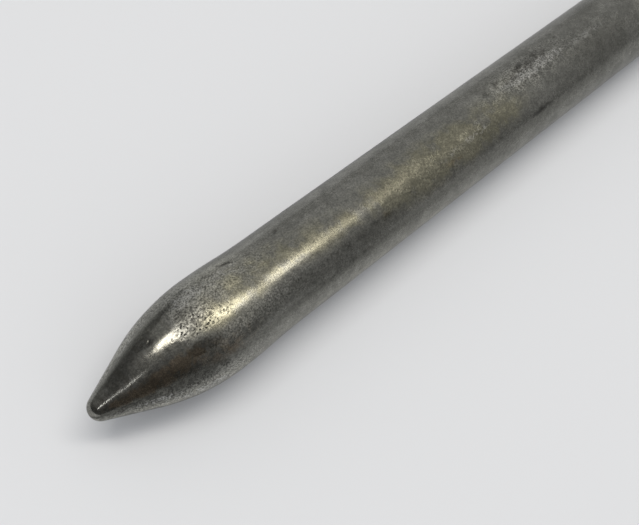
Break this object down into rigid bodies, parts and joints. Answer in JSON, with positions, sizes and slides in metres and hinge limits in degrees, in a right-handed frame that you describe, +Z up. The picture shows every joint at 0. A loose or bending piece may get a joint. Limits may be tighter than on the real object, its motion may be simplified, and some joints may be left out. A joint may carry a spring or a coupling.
{
  "type": "center punch",
  "caption": "Solid round steel center punch with a blunt ground point, a slightly swollen shoulder, a plain shank and a crowned struck head.",
  "frame": {"origin": "the surface the punch lies on, below the middle of its length", "axes": "+X along the punch from the point to the struck head, +Z up from the surface it lies on"},
  "size_m": [0.1524, 0.0132, 0.0132],
  "materials": {
    "tool_steel": "dark patinated tool steel, satin on the shank and burnished on the ground nose"
  },
  "bodies": {
    "root": {"punch": "tool_steel"}
  },
  "joints": []
}
